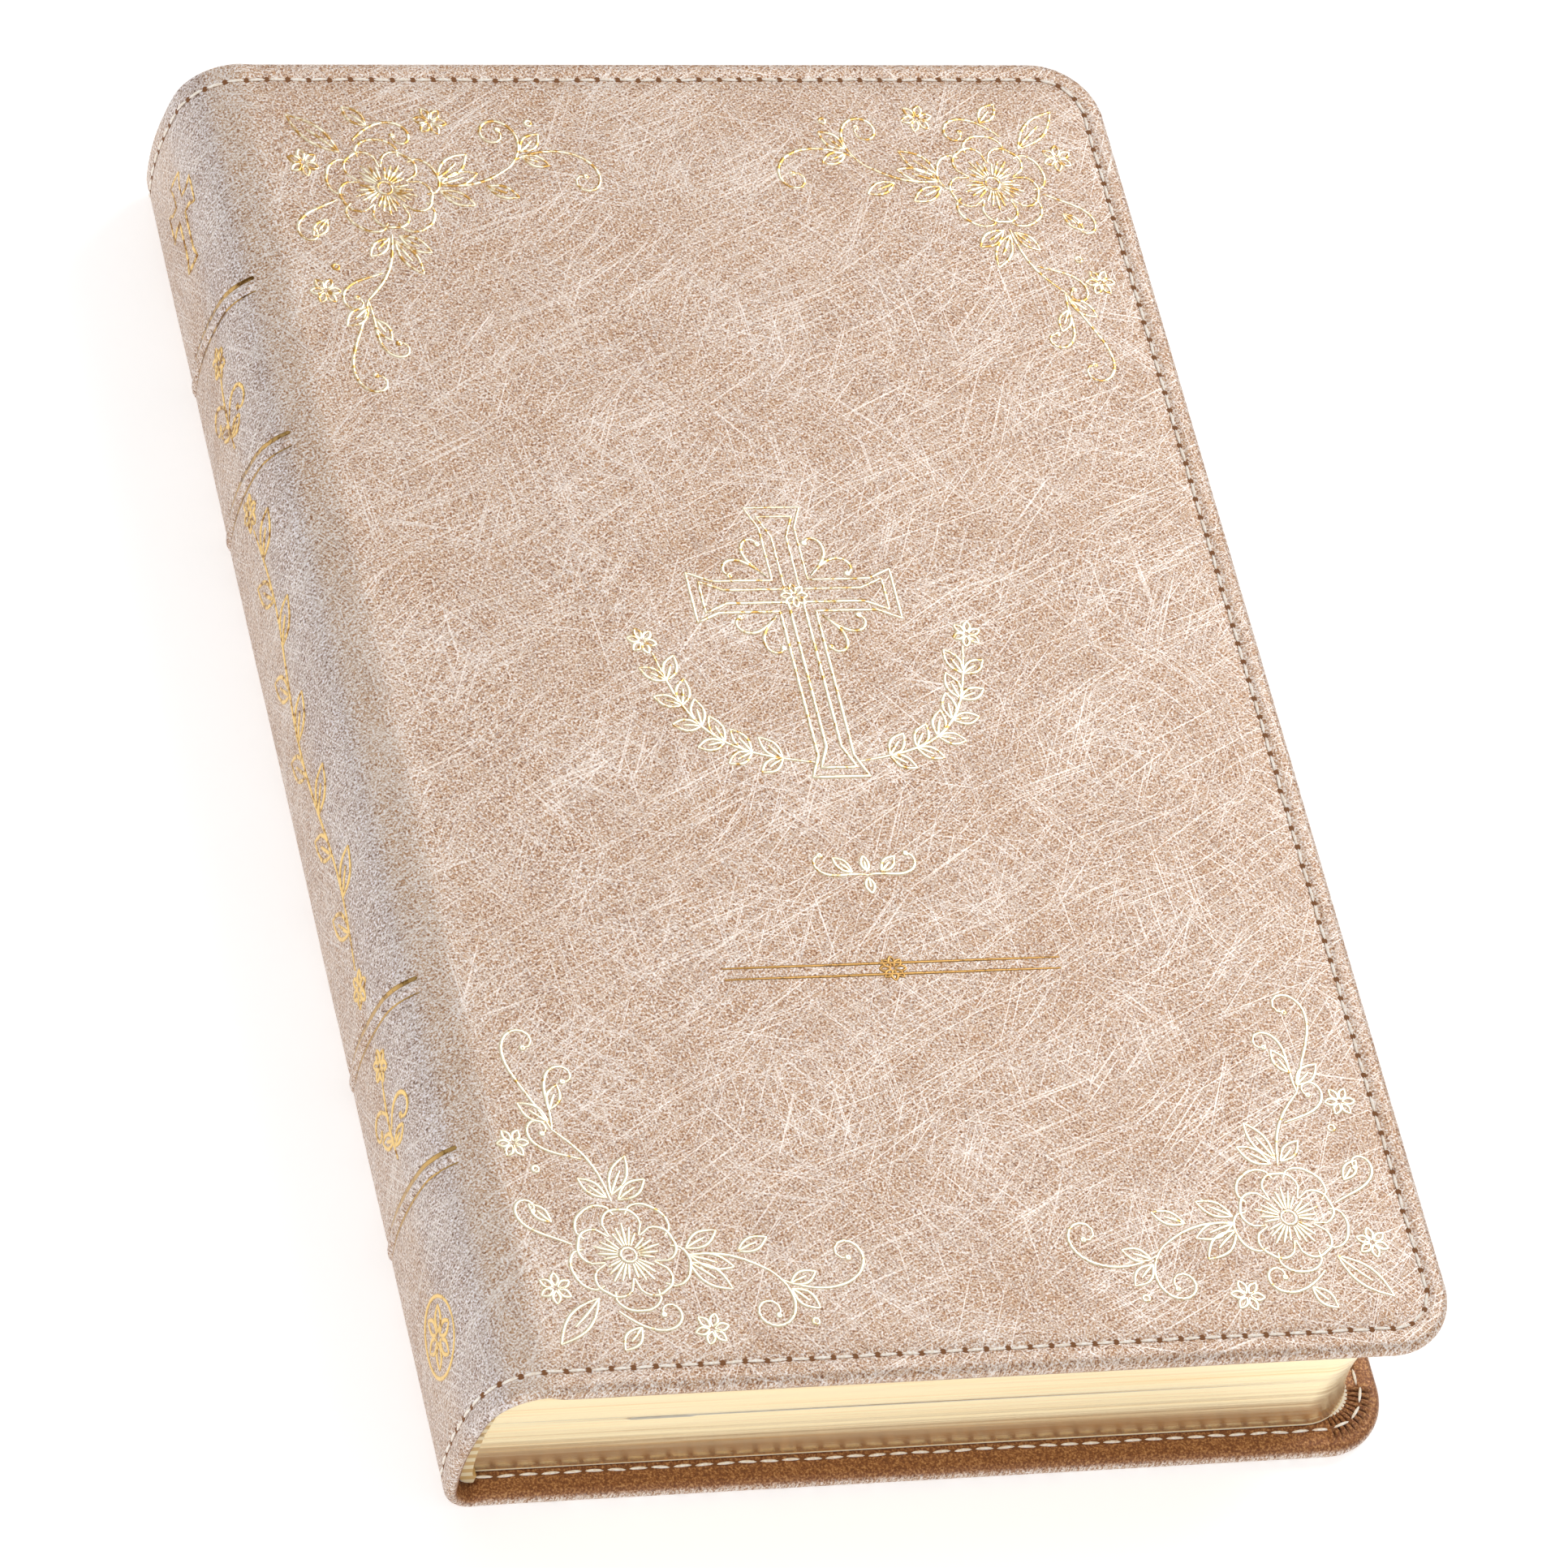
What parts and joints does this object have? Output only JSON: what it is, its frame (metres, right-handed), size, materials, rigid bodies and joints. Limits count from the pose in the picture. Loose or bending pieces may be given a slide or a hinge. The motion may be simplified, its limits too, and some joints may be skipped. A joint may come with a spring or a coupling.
{
  "type": "soft-cover bible",
  "caption": "Closed soft-cover Bible with rounded spine, sewn cover edge, turned-in limp covers, gilt-edged sewn pages and a ribbon marker; opens at the middle and at the front cover.",
  "frame": {"origin": "middle of the closed book's footprint, on the surface that its back cover lies on", "axes": "+X from the spine to the fore edge, +Y from the tail to the head, +Z from the back cover up to the front cover"},
  "size_m": [0.142, 0.222, 0.031],
  "materials": {
    "cover_leather": "pearl rose-beige imitation leather, fine cross-hatched grain",
    "sewing": "cream polyester thread",
    "board": "grey-brown flexible card",
    "endpaper": "plain cream endpaper",
    "bible_paper": "thin bible paper, gilt on three edges",
    "kraft": "kraft paper lining",
    "mull": "open-weave cloth",
    "glue": "dried binder's glue",
    "thread": "white sewing thread",
    "end_band": "two-tone woven bead",
    "ribbon": "brown satin ribbon"
  },
  "bodies": {
    "rear_half": {"back_board": "board", "back_edge_seam": "sewing", "back_flyleaf": "endpaper", "back_infill": "board", "back_pastedown": "endpaper", "back_skin": "cover_leather", "head_band_rear": "end_band", "kraft_liner_rear": "kraft", "mull_rear": "mull", "sewing_thread_rear": "thread", "signature_13": "bible_paper", "signature_14": "bible_paper", "signature_15": "bible_paper", "signature_16": "bible_paper", "signature_17": "bible_paper", "signature_18": "bible_paper", "signature_19": "bible_paper", "signature_20": "bible_paper", "signature_21": "bible_paper", "signature_22": "bible_paper", "signature_23": "bible_paper", "signature_24": "bible_paper", "spine_card_rear": "board", "spine_glue_rear": "glue", "spine_seam_rear": "sewing", "spine_skin_rear": "cover_leather", "tail_band_rear": "end_band"},
    "front_half": {"front_flyleaf": "endpaper", "head_band_front": "end_band", "kraft_liner_front": "kraft", "mull_front": "mull", "sewing_thread_front": "thread", "signature_01": "bible_paper", "signature_02": "bible_paper", "signature_03": "bible_paper", "signature_04": "bible_paper", "signature_05": "bible_paper", "signature_06": "bible_paper", "signature_07": "bible_paper", "signature_08": "bible_paper", "signature_09": "bible_paper", "signature_10": "bible_paper", "signature_11": "bible_paper", "signature_12": "bible_paper", "spine_card_front": "board", "spine_glue_front": "glue", "spine_seam_front": "sewing", "spine_skin_front": "cover_leather", "tail_band_front": "end_band"},
    "front_cover": {"front_board": "board", "front_edge_seam": "sewing", "front_infill": "board", "front_pastedown": "endpaper", "front_skin": "cover_leather"},
    "leaf_1": {"loose_leaf_1": "bible_paper"},
    "leaf_2": {"loose_leaf_2": "bible_paper"},
    "leaf_3": {"loose_leaf_3": "bible_paper"},
    "ribbon": {"ribbon_marker": "ribbon"}
  },
  "joints": [
    {"name": "block_opening", "type": "hinge", "parent": "rear_half", "child": "front_half", "pos_m": [-0.071, 0, 0.0155], "axis": [0, -1, 0], "range_deg": [0, 170]},
    {"name": "front_cover_hinge", "type": "hinge", "parent": "front_half", "child": "front_cover", "pos_m": [-0.06158, 0, 0.031], "axis": [0, -1, 0], "range_deg": [0, 180]},
    {"name": "ribbon_swing", "type": "hinge", "parent": "rear_half", "child": "ribbon", "pos_m": [-0.065, 0.1068, 0.0155], "axis": [0, 0, 1], "range_deg": [0, 20]},
    {"name": "leaf_1_turn", "type": "hinge", "parent": "rear_half", "child": "leaf_1", "pos_m": [-0.071, 0, 0.0155], "axis": [0, -1, 0], "range_deg": [0, 170]},
    {"name": "leaf_2_turn", "type": "hinge", "parent": "rear_half", "child": "leaf_2", "pos_m": [-0.071, 0, 0.0155], "axis": [0, -1, 0], "range_deg": [0, 170]},
    {"name": "leaf_3_turn", "type": "hinge", "parent": "rear_half", "child": "leaf_3", "pos_m": [-0.071, 0, 0.0155], "axis": [0, -1, 0], "range_deg": [0, 170]}
  ],
  "couplings": [
    {"joint": "leaf_1_turn", "follows": "block_opening", "ratio": 0.25},
    {"joint": "leaf_2_turn", "follows": "block_opening", "ratio": 0.5},
    {"joint": "leaf_3_turn", "follows": "block_opening", "ratio": 0.75}
  ]
}
